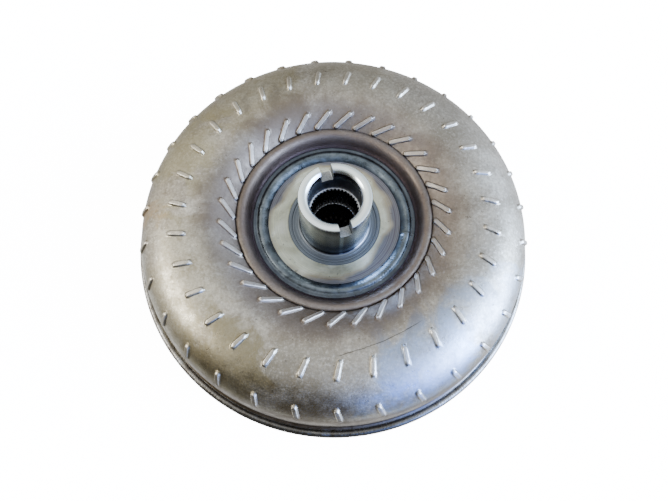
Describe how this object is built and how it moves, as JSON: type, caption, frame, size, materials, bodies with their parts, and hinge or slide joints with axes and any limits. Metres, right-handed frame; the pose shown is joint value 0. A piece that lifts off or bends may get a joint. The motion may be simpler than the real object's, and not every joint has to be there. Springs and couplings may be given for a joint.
{
  "type": "torque converter",
  "caption": "Automatic-gearbox torque converter: welded round housing with embossed half torus, notched drive hub and bolt lugs, holding turbine, stator and lock-up clutch.",
  "frame": {"origin": "On the shaft axis, in the plane of the drive lugs' outer faces, at the bottom centre of the bounding box.", "axes": "+Z runs along the shaft axis from the engine side to the gearbox side, so the notched hub points up. +X passes through the first drive lug. The camera of the picture looks from above the -Y side."},
  "size_m": [0.262, 0.262, 0.1112],
  "materials": {
    "dome_steel": "pressed sheet steel, oil-stained and heat-tinted",
    "cover_steel": "pressed sheet steel, dull",
    "machined_steel": "turned and ground steel",
    "weld_steel": "rippled weld bead, blue-grey",
    "lug_steel": "cold-drawn bar steel",
    "plain_steel": "pressed sheet steel, oiled",
    "blade_steel": "sheet steel with brazed joints",
    "hard_steel": "hardened and ground steel",
    "spring_steel": "dark tempered spring steel",
    "cast_aluminium": "die-cast aluminium, matt",
    "friction_paper": "resin-bonded friction paper, matt brown",
    "seal_black": "black filled polymer seal"
  },
  "bodies": {
    "housing": {"impeller_shell": "dome_steel", "impeller_hub": "machined_steel", "hub_weld_bead": "weld_steel", "closure_weld_bead": "weld_steel", "front_cover": "cover_steel", "pilot_boss": "machined_steel", "drive_lug_1": "lug_steel", "drive_lug_2": "lug_steel", "drive_lug_3": "lug_steel", "drive_lug_4": "lug_steel", "drive_lug_5": "lug_steel", "drive_lug_6": "lug_steel", "impeller_blades": "blade_steel", "cover_thrust_washer": "friction_paper"},
    "turbine": {"turbine_shell": "plain_steel", "turbine_blades": "blade_steel", "turbine_hub": "machined_steel", "turbine_rivet_1": "plain_steel", "turbine_rivet_2": "plain_steel", "turbine_rivet_3": "plain_steel", "turbine_rivet_4": "plain_steel", "turbine_rivet_5": "plain_steel", "turbine_rivet_6": "plain_steel", "damper_claw_ring": "plain_steel", "piston_seal_ring": "seal_black"},
    "damper": {"spring_retainer": "plain_steel", "damper_spring_1": "spring_steel", "damper_spring_2": "spring_steel", "damper_spring_3": "spring_steel", "damper_spring_4": "spring_steel"},
    "piston": {"lockup_piston": "plain_steel", "friction_lining": "friction_paper"},
    "stator_race": {"clutch_inner_race": "hard_steel", "rear_thrust_bearing": "hard_steel", "front_thrust_bearing": "hard_steel"},
    "stator": {"stator_wheel": "cast_aluminium", "clutch_cam_ring": "hard_steel", "clutch_roller_1": "hard_steel", "clutch_roller_2": "hard_steel", "clutch_roller_3": "hard_steel", "clutch_roller_4": "hard_steel", "clutch_roller_5": "hard_steel", "clutch_roller_6": "hard_steel", "clutch_roller_7": "hard_steel", "clutch_roller_8": "hard_steel", "clutch_spring_cage": "spring_steel", "clutch_side_plate": "plain_steel", "stator_snap_ring": "spring_steel"}
  },
  "joints": [
    {"name": "turbine_spin", "type": "hinge", "parent": "housing", "child": "turbine", "pos_m": [0, 0, 0.035], "axis": [0, 0, 1], "continuous": true},
    {"name": "damper_twist", "type": "hinge", "parent": "turbine", "child": "damper", "pos_m": [0, 0, 0.028], "axis": [0, 0, 1], "range_deg": [-8, 8], "stiffness_Nm_per_rad": 400, "deforming": ["damper_spring_1", "damper_spring_2", "damper_spring_3", "damper_spring_4"]},
    {"name": "piston_slide", "type": "slide", "parent": "damper", "child": "piston", "axis": [0, 0, 1], "range_m": [-0.001, 0]},
    {"name": "race_spin", "type": "hinge", "parent": "housing", "child": "stator_race", "pos_m": [0, 0, 0.07], "axis": [0, 0, 1], "continuous": true},
    {"name": "stator_overrun", "type": "hinge", "parent": "stator_race", "child": "stator", "pos_m": [0, 0, 0.0586], "axis": [0, 0, 1], "continuous": true}
  ]
}
